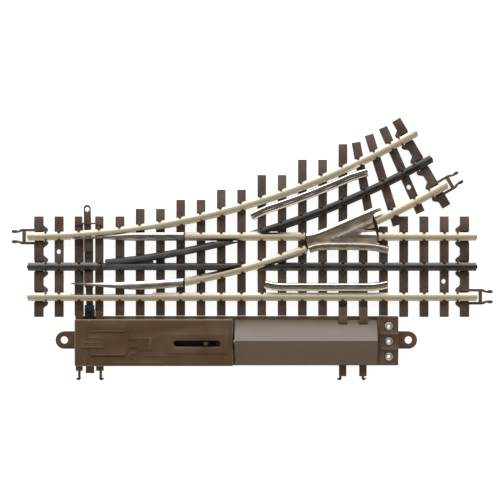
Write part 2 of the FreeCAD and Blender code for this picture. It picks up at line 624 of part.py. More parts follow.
# snap connector forks, made about (0, 0) with the rail end at x = 0 leaving in -x
def fork():
    z0, z1 = 0.6, 3.9
    s = []
    # short bars tie the fork to the end tie beside the rail
    prong = [(-9.4, 2.45), (-9.25, 3.45), (-8.4, 3.85), (-7.1, 3.8), (-6.1, 3.42), (-5.3, 3.5), (-4.6, 4.1), (-3.4, 4.42), (-1.9, 4.42),
             (-1.9, 2.9), (-3.4, 2.95), (-4.4, 2.6), (-5.4, 2.3), (-6.4, 2.15), (-7.5, 1.95), (-8.8, 2.05)]
    for sg in (-1, 1):
        y = sg * 3.7
        s.append(box(-2.9, 5.4, y - 0.74, y + 0.74, z0, z1))
        s.append(prism([(a, sg * b) for a, b in prong], z0, z1))
    s.append(box(-3.25, -1.5, -4.44, 4.44, z0, z1))
    return fuse(s)


f = fork()
forks = [moved(f, 0, RUN_Y), moved(turned(f, 180), LEG, -RUN_Y)]
fd = moved(turned(f, 180), 0, 0)
fd.rotate(V(0, 0, 0), V(0, 0, 1), TURN)
ex, ey = arc_p(R_OUT, TURN)
forks.append(moved(fd, ex, ey))

tie_base = fuse(bodies + webs, clean=False)
tie_base = tie_base.cut(Part.makeCompound(windows))
tie_base = fuse([tie_base] + clips + forks)

JUMPER = (44.5, 152.0)
groove = box(JUMPER[0] - 0.2, JUMPER[1] + 0.2, -1.1, 1.1, -1, 0.75)
groove2 = box(118.0, 131.0, -1.3, 1.3, 0, web_top)
tie_base = fuse([tie_base, groove2.cut(groove)])
TIE_HOLES = [(17.3, 8.5), (235.5, -8.3), (215.8, 45.1)]
TIE_HOLE_R = 1.33
cuts = [groove] + [cyl(x, y, -1, 9, TIE_HOLE_R) for x, y in TIE_HOLES]
for x, y in (HEEL_U, HEEL_L):
    cuts += [cyl(x, y, -1, 9, HEEL_PIN_R), cyl(x, y, -1, 1.2, 1.75)]
for x, y in FROG_SCREWS:
    cuts += [cyl(x, y, -1, 9, 0.75), cyl(x, y, -1, 0.6, 1.75), Part.makeCone(1.75, 0.75, 0.9, V(x, y, 0.6))]
GUARD_SCREWS = [(TIE_X0 + 12 * TIE_PITCH, -10.75), (TIE_X0 + 16 * TIE_PITCH, -10.75)]
for i in (11, 15):
    tx = TIE_X0 + i * TIE_PITCH
    GUARD_SCREWS.append((tx, arc_y(gr - G_HEAD, tx)))
for x, y in GUARD_SCREWS:
    cuts += [cyl(x, y, -1, 9, 0.65), cyl(x, y, -1, 0.7, 1.5)]
# the throwbar's eye passes this corner of a tie
cuts.append(box(30.45, 38.0, 24.1, 40.0, -1, 9))
cuts.append(box(31.05, 38.0, 15.5, 40.0, -1, 9))
tie_base = tie_base.cut(Part.makeCompound(cuts))
# bed for the heel pins of the lower blade, where it lies off the webs
for x, y in (HEEL_U, HEEL_L):
    pass
N["tie_base"] = tie_base
N["centre_rail_jumper"] = fuse([box(JUMPER[0], JUMPER[1], -1.0, 1.0, 0.25, 0.7)])
for g in ("guard_rail_straight", "guard_rail_diverging"):
    s = N[g]
    for x, y in GUARD_SCREWS:
        s = s.cut(cyl(x, y, TIE_H - 1, TIE_H + 3.0, 0.6))
    N[g] = s
N["guard_rail_screws"] = Part.makeCompound([
    cyl(x, y, 0.6, TIE_H + 2.9, 0.6).fuse(cyl(x, y, 0.1, 0.65, 1.4)) for x, y in GUARD_SCREWS])

# insulating gap fillers at both ends of the frog
fill = [(-1.35, 0.2), (1.35, 0.2), (1.35, RAIL_H - 0.12), (-1.35, RAIL_H - 0.12)]
a_end = arc_a(R_OUT, 157.6)
N["rail_insulators"] = Part.makeCompound([
    rail_x(RUN_Y, 156.85, 157.4, fill),
    rail_a(R_OUT, a_end + 0.006, a_end + 0.062, fill),
    rail_x(RUN_Y, 197.75, 198.35, fill),
    rail_a(R_OUT, arc_a(R_OUT, 196.9) - 0.08, arc_a(R_OUT, 196.9) - 0.006, fill),
])

# spike heads along the rail feet
solid_list = [N[k] for k in ("stock_rail_diverging", "stock_rail_straight", "closure_rail_straight", "closure_rail_diverging",
                             "exit_rail_straight", "exit_rail_diverging", "centre_rail_entry", "centre_rail_y_casting",
                             "centre_rail_straight", "centre_rail_diverging", "frog_casting", "guard_rail_straight",
                             "guard_rail_diverging", "throwbar_keeper")]
moving = [N["point_blade_straight"], N["point_blade_diverging"], N["throwbar"], N["output_slide"],
          moved(N["throwbar"], 0, -STROKE), moved(N["output_slide"], 0, -STROKE)]
for k in (0.2, 0.4, 0.6, 0.8, 1.0):
    moving.append(turned(blade_u, THROW * k, *HEEL_U))
    moving.append(turned(blade_l, THROW * k, *HEEL_L))
boxes = [(s, s.BoundBox, 0.1) for s in solid_list] + [(s, s.BoundBox, 0.29) for s in moving]
spikes = []
for k, t in enumerate(ties):
    if k in END_TIES:
        continue
    for r in RAILS:
        c = crossing(t, r)
        if not c:
            continue
        x, y, ang = c
        half = 2.1 if (r[1] in (0.0, RADIUS) and 44 <= x <= 121) else FOOT_W / 2
        for s in (-1, 1):
            casting = half < 2.3
            off = half + (1.1 if casting else 0.36)
            # a round boss on the tie whose head laps over the edge of the rail foot
            q = cyl(0, 0, TIE_H - 0.05, TIE_H + 1.25, 0.95).fuse(Part.makeCone(0.95, 0.6, 0.35, V(0, 0, TIE_H + 1.25)))
            q = q.fuse(box(-0.8, 0.8, min(0, s * 1.35), max(0, s * 1.35), TIE_H - 0.05, TIE_H + 0.9))
            if not casting:
                q = q.cut(box(-3, 3, min(-s * 0.15, -s * 3), max(-s * 0.15, -s * 3), TIE_H - 1, TIE_H + 1.05))
            q = q.cut(box(-3, 3, -3, 3, TIE_H - 1, TIE_H))
            qa = turned(q, ang)
            cx = x - math.sin(math.radians(ang)) * s * off
            cy = y + math.cos(math.radians(ang)) * s * off
            qa = moved(qa, cx, cy)
            (bx0, by0), (bx1, by1), w = t
            if not (min(by0, by1) + 0.7 < cy < max(by0, by1) - 0.7):
                continue
            bad = False
            qb = qa.BoundBox
            for sh, b, gap in boxes:
                if (qb.XMin > b.XMax + 0.3 or qb.XMax < b.XMin - 0.3 or qb.YMin > b.YMax + 0.3
                        or qb.YMax < b.YMin - 0.3 or qb.ZMin > b.ZMax + 0.3):
                    continue
                if sh.distToShape(qa)[0] < gap:
                    bad = True
                    break
            for hx, hy in TIE_HOLES:
                if math.hypot(hx - cx, hy - cy) < 2.9:
                    bad = True
            for q2 in spikes:
                if q2.BoundBox.Center.sub(qb.Center).Length < 2.2:
                    bad = True
            if not bad:
                spikes.append(qa)
print("spikes", len(spikes))
N["rail_spikes"] = Part.makeCompound(spikes)

# ---------------------------------------------------------------- switch machine base
MX0, MX1 = 26.9, 209.6
plate = box(MX0, MX1, -56.0, -28.05, 0, BASE_T)
ears = []
for (x, y), inner in ((EAR_L, MX0 + 1), (EAR_R, MX1 - 1)):
    ears.append(box(min(x, inner), max(x, inner), y - 4.95, y + 4.95, 0, BASE_T))
    ears.append(cyl(x, y, 0, BASE_T, 4.95))
base = fuse([plate] + ears)
arms = []
for x0, x1 in ((26.9, 31.1), (38.35, 42.6)):
    arms.append(box(x0, x1, -29.4, -24.9, TIE_H + 0.1, TIE_H + 1.7))
    arms.append(box(x0, x1, -29.4, -28.05, BASE_T - 0.5, TIE_H + 1.7))
for x0, x1 in ((176.0, 180.75), (187.5, 192.3)):
    arms.append(box(x0, x1, -29.6, -22.8, TIE_H + 0.1, TIE_H + 1.9))
    arms.append(box(x0, x1, -29.95, -28.05, BASE_T - 0.5, 8.95))
    # tongue over the edge of the coil cover
    arms.append(box(x0, x1, -31.9, -29.0, 8.4, 8.95))
# stubs and snap hooks along the outer edge
for x0, x1 in ((26.9, 30.8), (38.5, 42.7), (176.2, 180.4), (187.7, 191.9)):
    end = -59.1 if x1 < 100 else -62.2
    arms.append(box(x0, x1, end, -55.5, 0.5, BASE_T))
for hx, d in ((29.0, -1), (41.0, 1), (177.0, -1), (189.7, 1)):
    y0 = -58.5 if hx < 100 else -61.8
    arms.append(prism([(hx - 0.78, y0 + 2.6), (hx + 0.78, y0 + 2.6), (hx + 0.62 + 0.1 * d, -63.2), (hx - 0.62 + 0.1 * d, -63.2)], 0.6, BASE_T - 0.1))
    bulb = cyl(hx + 0.55 * d, -63.2, 0.6, BASE_T - 0.1, 1.3)
    arms.append(bulb.cut(box(hx + 0.5 * d if d > 0 else hx - 2.2, hx + 2.2 if d > 0 else hx + 0.5 * d, -63.1, -62.0, 0, 9)))
arms.append(box(32.6, 37.3, -60.4, -55.5, 0.5, BASE_T - 0.3))
base = fuse([base] + arms)
base = base.cut(box(31.7, 38.0, -49.5, -27.0, 1.2, 9)).cut(box(31.7, 38.0, -30.2, -27.0, 0.6, 9))
base = base.cut(box(31.7, 56.0, -49.5, -36.5, 1.2, 9))
CASE_SCREWS = [(45.0, -33.6), (112.2, -33.6), (45.0, -52.9), (112.2, -52.9)]
cuts = [cyl(EAR_L[0], EAR_L[1], -1, 9, EAR_HOLE_R), cyl(EAR_R[0], EAR_R[1], -1, 9, EAR_HOLE_R)]
for x, y in CASE_SCREWS:
    cuts += [cyl(x, y, -1, 9, 0.95), cyl(x, y, -1, 1.3, 1.9)]
for y in EYELET_Y:
    cuts.append(cyl(EYELET_X, y, -1, 9, 1.6))
base = base.cut(Part.makeCompound(cuts))
N["machine_base"] = base
N["case_screws"] = Part.makeCompound([
    cyl(x, y, 1.2, 8.2, 0.9).fuse(cyl(x, y, 0.3, 1.25, 1.75)) for x, y in CASE_SCREWS])

# ---------------------------------------------------------------- machine case, left
CX0, CX1, CY0, CY1 = 26.9, 116.4, -56.0, -29.5
case = box(CX0, CX1, CY0, CY1, BASE_T, CASE_TOP)
case = rounded(case, 0.8, lambda p, e: p.z > CASE_TOP - 0.01 or (abs(p.z - (BASE_T + CASE_TOP) / 2) < 0.1))
case = case.cut(box(CX0 + WALL, CX1 - WALL, CY0 + WALL, CY1 - WALL, BASE_T - 1, CASE_TOP - WALL))
bosses = [cyl(x, y, BASE_T, CASE_TOP - WALL + 0.1, 2.0) for x, y in CASE_SCREWS]
slot_plate = box(79.3, 113.5, -48.8, -37.55, CASE_TOP - 0.2, CASE_TOP + 0.5)
ledges = [
    slot_plate,
    box(58.1, 61.8, -40.9, -40.1, CASE_TOP - 0.2, CASE_TOP + 0.55),
    box(58.1, 61.8, -45.3, -44.5, CASE_TOP - 0.2, CASE_TOP + 0.55),
    box(62.6, 70.4, -46.8, -40.0, CASE_TOP - 0.2, CASE_TOP + 0.4),
    box(65.8, 85.3, -50.3, -49.7, CASE_TOP - 0.2, CASE_TOP + 0.35),
    box(33.8, 34.3, -55.0, -50.6, CASE_TOP - 0.2, CASE_TOP + 0.3),
    box(33.8, 34.3, -35.2, -31.0, CASE_TOP - 0.2, CASE_TOP + 0.3),
    box(43.5, 78.0, -54.4, -53.9, CASE_TOP - 0.2, CASE_TOP + 0.3),
    cyl(59.6, -49.9, CASE_TOP - 0.2, CASE_TOP + 0.4, 1.5),
]
case = fuse([case] + bosses + ledges)
# recess with three fine ribs in the square boss, and a dimple in the round one
for rx0, rx1 in ((63.2, 64.7), (65.1, 66.6), (67.0, 68.5)):
    case = case.cut(box(rx0, rx1, -46.2, -40.6, CASE_TOP + 0.15, CASE_TOP + 1))
case = case.cut(cyl(59.6, -49.9, CASE_TOP + 0.05, CASE_TOP + 1, 0.8))
slot = fuse([box(82.7 + 1.75, 109.3 - 1.75, SLOT_Y - 1.75, SLOT_Y + 1.75, 8, 15),
             cyl(82.7 + 1.75, SLOT_Y, 8, 15, 1.75), cyl(109.3 - 1.75, SLOT_Y, 8, 15, 1.75)])
case = case.cut(slot)
case = case.cut(box(31.6, 38.1, -32.0, -29.0, BASE_T - 1, TIE_H + 0.35))
case = case.cut(box(31.85, 37.95, -32.0, -29.0, BASE_T - 1, 6.6))
case = case.cut(xcyl(110.0, 118.0, COIL_Y, COIL_Z, 3.3))
for x, y in CASE_SCREWS:
    case = case.cut(cyl(x, y, BASE_T - 1, 8.4, 0.9))
HATCH = [(35.2, -49.9), (55.4, -49.9), (57.0, -48.2), (57.0, -37.6), (55.4, -35.85), (35.2, -35.85)]
case = case.cut(prism([(36.4, -48.6), (54.8, -48.6), (55.8, -47.6), (55.8, -38.2), (54.8, -37.2), (36.4, -37.2)], 9, 14))
N["machine_case"] = case
hatch = fuse([
    prism(HATCH, CASE_TOP, CASE_TOP + 0.3),
    prism([(36.7, -48.3), (54.6, -48.3), (55.5, -47.4), (55.5, -38.4), (54.6, -37.5), (36.7, -37.5)], CASE_TOP - 1.0, CASE_TOP + 0.1),
    # the two long finger ribs
    box(35.2, 55.6, -36.6, -35.85, CASE_TOP, CASE_TOP + 1.05),
    box(36.2, 55.2, -49.9, -49.15, CASE_TOP, CASE_TOP + 1.05),
    # stepped tongue over the edge of the case panel
    box(30.6, 43.0, -45.6, -39.7, CASE_TOP + 0.05, CASE_TOP + 0.45),
    box(30.6, 43.0, -40.3, -39.7, CASE_TOP + 0.3, CASE_TOP + 0.7),
    box(30.6, 43.0, -45.6, -45.0, CASE_TOP + 0.3, CASE_TOP + 0.7),
    box(32.0, 42.0, -42.9, -42.4, CASE_TOP + 0.3, CASE_TOP + 0.6),
])
N["access_hatch"] = hatch

# ---------------------------------------------------------------- coil cover, gabled
KX0, KX1 = 117.05, 197.45
outer = [(-30.1, BASE_T), (-30.1, 6.9), (RIDGE_Y, RIDGE_Z), (-55.4, 8.5), (-55.4, BASE_T)]
inner = [(-31.3, BASE_T - 1), (-31.3, 6.4), (RIDGE_Y, RIDGE_Z - 1.45), (-54.2, 7.7), (-54.2, BASE_T - 1)]
cover = yz_prism(outer, KX0, KX1).cut(yz_prism(inner, KX0 + WALL, KX1 - WALL))
cover = cover.cut(xcyl(KX0 - 1, KX0 + 3, COIL_Y, COIL_Z, 3.3))
for y in EYELET_Y:
    cover = cover.cut(box(KX1 - 3, KX1 + 1, y - 1.6, y + 1.6, 5.9, 6.9))
N["coil_cover"] = cover

# ---------------------------------------------------------------- terminal block
tb = box(KX1 + 0.15, MX1, -55.45, -28.3, BASE_T, 7.4)
tb = fuse([tb, box(KX1 + 0.15, KX1 + 2.0, -55.45, -28.3, 7.0, 7.9), box(KX1 + 1.9, MX1, -38.4, -37.7, 7.0, 8.9),
           box(KX1 + 1.9, MX1, -47.05, -46.35, 7.0, 8.9), box(KX1 + 0.15, MX1, -28.95, -28.3, 7.0, 7.9)])
for y in EYELET_Y:
    tb = tb.cut(cyl(EYELET_X, y, 0, 12, 1.6))
    # the strips run inside the moulding
    tb = tb.cut(box(KX1 - 1, EYELET_X, y - 1.6, y + 1.6, 6.1, 6.7)).cut(cyl(EYELET_X, y, 6.1, 6.7, 2.55))
N["terminal_block"] = tb
strips, eyelets, leads = [], [], []
for y in EYELET_Y:
    s = box(191.0, EYELET_X, y - 1.4, y + 1.4, 6.2, 6.6)
    strips.append(s.fuse(cyl(EYELET_X, y, 6.2, 6.6, 2.4)).cut(cyl(EYELET_X, y, 5, 9, 1.6)))
    e = cyl(EYELET_X, y, 0.4, 8.1, 1.58).fuse(cyl(EYELET_X, y, 7.4, 8.1, 2.32))
    e = chamfered(e, 0.28, lambda p, ed: p.z > 8.09)
    e = e.cut(cyl(EYELET_X, y, 0, 12, 1.05)).cut(cyl(EYELET_X, y, 7.85, 9, 1.62))
    eyelets.append(e)
N["contact_strips"] = Part.makeCompound(strips)
N["terminal_eyelets"] = Part.makeCompound(eyelets)

# ---------------------------------------------------------------- solenoid
COILS = ((122.2, 150.8), (155.2, 183.8))
bobs, winds = [], []
for x0, x1 in COILS:
    b = fuse([xcyl(x0, x1, COIL_Y, COIL_Z, 3.15), xcyl(x0, x0 + 1.0, COIL_Y, COIL_Z, 4.35), xcyl(x1 - 1.0, x1, COIL_Y, COIL_Z, 4.35)])
    bobs.append(b.cut(xcyl(x0 - 1, x1 + 1, COIL_Y, COIL_Z, 2.75)))
    winds.append(xcyl(x0 + 1.05, x1 - 1.05, COIL_Y, COIL_Z, 4.2).cut(xcyl(x0, x1, COIL_Y, COIL_Z, 3.18)))
N["coil_bobbins"] = Part.makeCompound(bobs)
N["coil_windings"] = Part.makeCompound(winds)
FR = [(-47.4, BASE_T), (-47.4, 9.8), (-45.0, 11.4), (-40.0, 11.4), (-37.6, 9.8), (-37.6, BASE_T)]
fr = fuse([
    box(121.0, 185.0, -47.4, -37.6, BASE_T, BASE_T + 0.55),
    yz_prism(FR, 121.0, 122.1), yz_prism(FR, 183.9, 185.0), yz_prism(FR, 152.2, 153.8),
])
fr = fr.cut(xcyl(119, 188, COIL_Y, COIL_Z, 2.9))
N["solenoid_frame"] = fr
for y in EYELET_Y:
    yy = COIL_Y + (y + 42.2) * 0.42
    leads.append(fuse([xcyl(185.1, 188.0, yy, 6.96, 0.35),
                       Part.makeCylinder(0.35, math.hypot(3.4, y - yy), V(188.0, yy, 6.96), V(3.4, y - yy, 0)),
                       Part.makeSphere(0.35, V(188.0, yy, 6.96))]))
N["coil_leads"] = Part.makeCompound(leads)

# ---------------------------------------------------------------- moving core
N["plunger"] = fuse([xcyl(126.0, 176.0, COIL_Y, COIL_Z, 2.45), xcyl(108.2, 126.5, COIL_Y, COIL_Z, 1.3)])
DS0, DS1 = 4.5, 6.3
ds = box(47.0, 113.0, -48.3, -37.6, DS0, DS1)
ds = fuse([ds, box(107.0, 113.0, -46.0, -39.0, DS1 - 0.2, 10.3)])
sx, sy = FOLLOW
ex2, ey2 = sx + SLIDE_STROKE, sy - STROKE
d = math.hypot(ex2 - sx, ey2 - sy)
cam = band([(sx, sy), (ex2, ey2)], 2.6, 3, 8)
cam = fuse([cam, cyl(sx, sy, 3, 8, 1.3), cyl(ex2, ey2, 3, 8, 1.3)])
ds = ds.cut(cam)
ds = ds.cut(xcyl(105, 115, COIL_Y, COIL_Z, 1.3))
ds = ds.cut(box(66.0, 96.0, -39.9, -37.0, 3, 8))
# detent notches in the outer edge
for nx in (84.0, 84.0 + SLIDE_STROKE):
    ds = ds.cut(cyl(nx, -48.3, 3, 8, 1.1))
ds = ds.cut(cyl(HAND_X, SLOT_Y, DS0 + 0.6, 8, 1.0))
N["drive_slide"] = ds
N["hand_pin"] = fuse([cyl(HAND_X, SLOT_Y, DS0 + 0.6, CASE_TOP + 1.9, 1.0), cyl(HAND_X, SLOT_Y, DS1, DS1 + 0.8, 1.9)])
N["detent_spring"] = fuse([
    band([(70.0, -52.4), (76.0, -52.4), (81.6, -50.3), (84.0, -49.0), (86.4, -50.3), (92.0, -52.4), (98.0, -52.4)], 0.45, DS0 + 0.2, DS1 - 0.1),
    cyl(73.0, -53.1, BASE_T, DS1 + 0.6, 0.55),
    cyl(95.0, -53.1, BASE_T, DS1 + 0.6, 0.55),
])

# ---------------------------------------------------------------- export
bb = Part.makeCompound(list(N.values())).BoundBox
CX = (bb.XMin + bb.XMax) / 2
CY = (bb.YMin + bb.YMax) / 2
print("overall", round(bb.XLength, 3), round(bb.YLength, 3), round(bb.ZLength, 3), "z0", round(bb.ZMin, 3))
print("offset", round(-CX, 4), round(-CY, 4))
print("throw deg", round(THROW, 4), "heels", HEEL_U, HEEL_L)
for name, s in N.items():
    s = moved(s, -CX, -CY, -bb.ZMin)
    if not s.isValid():
        print("NOT VALID", name)
    bad = [x for x in s.Solids if x.Volume <= 0]
    if bad or not s.Solids:
        print("BAD SOLID", name)
    want = {"rail_spikes": None}
    print("%-26s solids %3d  vol %9.2f" % (name, len(s.Solids), s.Volume))
    s.exportStep("parts/" + name + ".step")
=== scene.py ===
import bpy
import bmesh
import json
import math
from mathutils import Vector, Matrix


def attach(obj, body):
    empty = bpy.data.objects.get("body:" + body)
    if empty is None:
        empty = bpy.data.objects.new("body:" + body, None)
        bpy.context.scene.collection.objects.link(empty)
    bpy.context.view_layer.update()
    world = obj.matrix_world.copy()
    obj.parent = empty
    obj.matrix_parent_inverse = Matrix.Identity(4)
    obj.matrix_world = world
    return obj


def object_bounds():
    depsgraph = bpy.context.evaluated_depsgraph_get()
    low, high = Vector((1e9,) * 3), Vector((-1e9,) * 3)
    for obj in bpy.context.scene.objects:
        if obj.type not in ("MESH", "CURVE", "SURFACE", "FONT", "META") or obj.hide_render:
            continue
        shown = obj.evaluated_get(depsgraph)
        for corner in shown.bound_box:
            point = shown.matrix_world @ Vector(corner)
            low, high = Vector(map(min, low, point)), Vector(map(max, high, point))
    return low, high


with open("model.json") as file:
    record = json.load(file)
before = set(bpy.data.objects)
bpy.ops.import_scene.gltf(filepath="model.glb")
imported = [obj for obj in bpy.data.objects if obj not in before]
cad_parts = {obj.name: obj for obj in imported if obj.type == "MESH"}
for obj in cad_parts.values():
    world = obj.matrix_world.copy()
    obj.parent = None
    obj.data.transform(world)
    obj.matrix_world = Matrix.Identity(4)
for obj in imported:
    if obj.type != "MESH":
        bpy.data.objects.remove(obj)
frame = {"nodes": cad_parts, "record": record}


def corners(b):
    return [[float(v) for v in b[0]], [float(v) for v in b[1]]]


cad_box = corners(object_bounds())
nodes = frame["nodes"]
scene = bpy.context.scene
MM = 0.001

# ------------------------------------------------------------------ materials


class Mat:
    """A small helper that builds one procedural material."""

    def __init__(self, name, base, rough=0.5, metal=0.0):
        self.m = bpy.data.materials.new(name)
        self.m.use_nodes = True
        self.nt = self.m.node_tree
        self.nt.nodes.clear()
        self.out = self.nt.nodes.new("ShaderNodeOutputMaterial")
        self.b = self.nt.nodes.new("ShaderNodeBsdfPrincipled")
        self.nt.links.new(self.b.outputs["BSDF"], self.out.inputs["Surface"])
        self.b.inputs["Base Color"].default_value = (*base, 1)
        self.b.inputs["Roughness"].default_value = rough
        self.b.inputs["Metallic"].default_value = metal
        self.tc = self.nt.nodes.new("ShaderNodeTexCoord")
        self.bump_in = None

    def new(self, kind, **kw):
        n = self.nt.nodes.new(kind)
        for k, v in kw.items():
            setattr(n, k, v)
        return n

    def link(self, a, b):
        self.nt.links.new(a, b)

    def coords(self, sx=1.0, sy=1.0, sz=1.0, rot=0.0):
        mp = self.new("ShaderNodeMapping")
        mp.inputs["Scale"].default_value = (sx, sy, sz)
        mp.inputs["Rotation"].default_value = (0, 0, rot)
        self.link(self.tc.outputs["Object"], mp.inputs["Vector"])
        return mp.outputs["Vector"]

    def noise(self, vec, scale, detail=4.0, rough=0.55, dist=0.0):
        n = self.new("ShaderNodeTexNoise")
        n.inputs["Scale"].default_value = scale
        n.inputs["Detail"].default_value = detail
        n.inputs["Roughness"].default_value = rough
        n.inputs["Distortion"].default_value = dist
        self.link(vec, n.inputs["Vector"])
        return n.outputs["Fac"]

    def ramp(self, fac, stops):
        r = self.new("ShaderNodeValToRGB")
        e = r.color_ramp.elements
        while len(e) < len(stops):
            e.new(0.5)
        for i, (p, c) in enumerate(stops):
            e[i].position = p
            e[i].color = (*c, 1) if len(c) == 3 else c
        self.link(fac, r.inputs["Fac"])
        return r.outputs["Color"]

    def math(self, op, a, b=None, clamp=False):
        n = self.new("ShaderNodeMath", operation=op)
        n.use_clamp = clamp
        for i, v in enumerate((a, b)):
            if v is None:
                continue
            if isinstance(v, (int, float)):
                n.inputs[i].default_value = v
            else:
                self.link(v, n.inputs[i])
        return n.outputs[0]

    def rng(self, v, a, b, c, d):
        n = self.new("ShaderNodeMapRange")
        n.inputs["From Min"].default_value = a
        n.inputs["From Max"].default_value = b
        n.inputs["To Min"].default_value = c
        n.inputs["To Max"].default_value = d
        self.link(v, n.inputs["Value"])
        return n.outputs["Result"]

    def mix(self, fac, a, b, blend="MIX"):
        n = self.new("ShaderNodeMix", data_type="RGBA", blend_type=blend)
        for sock, v in ((n.inputs[0], fac), (n.inputs[6], a), (n.inputs[7], b)):
            if isinstance(v, (int, float)):
                sock.default_value = v
            elif isinstance(v, tuple):
                sock.default_value = (*v, 1)
            else:
                self.link(v, sock)
        return n.outputs[2]

    def color(self, c):
        self.link(c, self.b.inputs["Base Color"])

    def rough(self, r):
        self.link(r, self.b.inputs["Roughness"])

    def bump(self, h, strength=0.3, dist=0.0001):
        n = self.new("ShaderNodeBump")
        n.inputs["Strength"].default_value = strength
        n.inputs["Distance"].default_value = dist
        self.link(h, n.inputs["Height"])
        if self.bump_in is not None:
            self.link(self.bump_in, n.inputs["Normal"])
        self.bump_in = n.outputs["Normal"]
        self.link(self.bump_in, self.b.inputs["Normal"])

    def height(self):
        s = self.new("ShaderNodeSeparateXYZ")
        self.link(self.tc.outputs["Object"], s.inputs[0])
        return s.outputs[2]

    def edges(self):
        """1 on convex edges, 0.5 on flats: from Geometry's pointiness."""
        g = self.new("ShaderNodeNewGeometry")
        return g.outputs["Pointiness"]

    def set(self, **kw):
        for k, v in kw.items():
            self.b.inputs[k.replace("_", " ")].default_value = v
        return self


def plastic(name, lo, mid, hi, rough, grain, scale=220.0, spec=0.5, wear=0.0, stretch=(1, 1, 1), wave=0.0):
    m = Mat(name, mid, rough)
    blot = m.noise(m.coords(), scale * 0.35, 3.0)
    col = m.ramp(blot, [(0.30, lo), (0.52, mid), (0.75, hi)])
    fine = m.noise(m.coords(*stretch), scale * 6.0, 3.0, 0.6)
    col = m.mix(m.rng(fine, 0.35, 0.75, 0.0, 0.18), col, hi)
    m.color(col)
    m.rough(m.rng(blot, 0.3, 0.75, rough - 0.06, rough + 0.10))
    m.bump(fine, grain, 0.00006)
    if wave:
        g = m.noise(m.coords(*stretch), scale * 1.6, 6.0, 0.62, 0.6)
        m.bump(g, wave, 0.00022)
    m.b.inputs["Specular IOR Level"].default_value = spec
    return m.m


M = {}
M["tie_brown"] = plastic("tie_moulding", (0.043, 0.0262, 0.0188), (0.064, 0.0415, 0.0315), (0.104, 0.071, 0.055),
                         0.50, 0.25, 240.0, 0.4, stretch=(1.0, 0.14, 1.0), wave=0.55)
M["case_brown"] = plastic("case_moulding", (0.074, 0.043, 0.0215), (0.083, 0.049, 0.0255), (0.098, 0.060, 0.0335),
                          0.30, 0.08, 160.0, 0.85)
M["cover_brown"] = plastic("cover_moulding", (0.070, 0.040, 0.0195), (0.078, 0.0455, 0.0230), (0.090, 0.054, 0.0295),
                           0.46, 0.06, 120.0, 1.0, stretch=(0.12, 1.0, 1.0))
M["black_plastic"] = plastic("black_moulding", (0.010, 0.010, 0.010), (0.016, 0.016, 0.016), (0.028, 0.027, 0.026), 0.42, 0.2)


def nickel():
    m = Mat("nickel_silver", (0.70, 0.64, 0.50), 0.38, 1.0)
    z = m.height()
    base = m.noise(m.coords(1, 1, 1), 90.0, 4.0)
    tarn = m.ramp(base, [(0.25, (0.50, 0.455, 0.345)), (0.5, (0.57, 0.525, 0.41)), (0.8, (0.65, 0.605, 0.49))])
    fine = m.noise(m.coords(0.35, 1.0, 1.0), 2600.0, 2.0, 0.5)
    tarn = m.mix(m.rng(fine, 0.4, 0.7, 0.0, 0.25), tarn, (0.42, 0.38, 0.29))
    # painted shade: above 9.25 mm the rail head is mixed to a darker tan and made rougher, standing in for the dark
    # reflection its flat top catches; the foot keeps the paler base colour
    head_painted_shade = m.rng(z, 0.00925, 0.0096, 0.0, 1.0)
    col = m.mix(head_painted_shade, tarn, (0.462, 0.427, 0.338), "MIX")
    m.color(col)
    r = m.rng(base, 0.25, 0.75, 0.40, 0.52)
    mr = m.new("ShaderNodeMix", data_type="FLOAT")
    m.link(head_painted_shade, mr.inputs[0])
    m.link(r, mr.inputs[2])
    mr.inputs[3].default_value = 0.60
    m.rough(mr.outputs[0])
    m.bump(fine, 0.10, 0.00003)
    m.bump(base, 0.05, 0.00010)
    return m.m


def black_rail():
    m = Mat("blackened_rail", (0.06, 0.057, 0.055), 0.40, 0.85)
    z = m.height()
    base = m.noise(m.coords(), 130.0, 5.0)
    col = m.ramp(base, [(0.28, (0.034, 0.031, 0.029)), (0.55, (0.056, 0.052, 0.049)), (0.8, (0.092, 0.087, 0.083))])
    # painted highlight: convex edges are mixed towards a light grey
    pt = m.edges()
    painted_edge_highlight = m.rng(pt, 0.53, 0.60, 0.0, 0.55)
    col = m.mix(painted_edge_highlight, col, (0.24, 0.23, 0.22))
    # painted shade: the rail top above 9.4 mm is mixed darker
    head_painted_shade = m.rng(z, 0.0094, 0.0097, 0.0, 0.45)
    col = m.mix(head_painted_shade, col, (0.034, 0.032, 0.031))
    m.color(col)
    m.rough(m.rng(base, 0.3, 0.7, 0.30, 0.46))
    m.bump(m.noise(m.coords(0.4, 1, 1), 1800.0, 2.0), 0.12, 0.00004)
    return m.m


def black_cast():
    m = Mat("black_casting", (0.05, 0.048, 0.047), 0.5, 0.35)
    base = m.noise(m.coords(), 150.0, 5.0)
    col = m.ramp(base, [(0.3, (0.035, 0.033, 0.032)), (0.55, (0.055, 0.052, 0.051)), (0.8, (0.090, 0.086, 0.083))])
    # painted highlight: convex edges are mixed towards a light grey
    painted_edge_highlight = m.rng(m.edges(), 0.53, 0.60, 0.0, 0.5)
    m.color(m.mix(painted_edge_highlight, col, (0.17, 0.16, 0.155)))
    m.rough(m.rng(base, 0.3, 0.7, 0.42, 0.58))
    m.bump(m.noise(m.coords(), 1500.0, 3.0), 0.30, 0.00006)
    return m.m


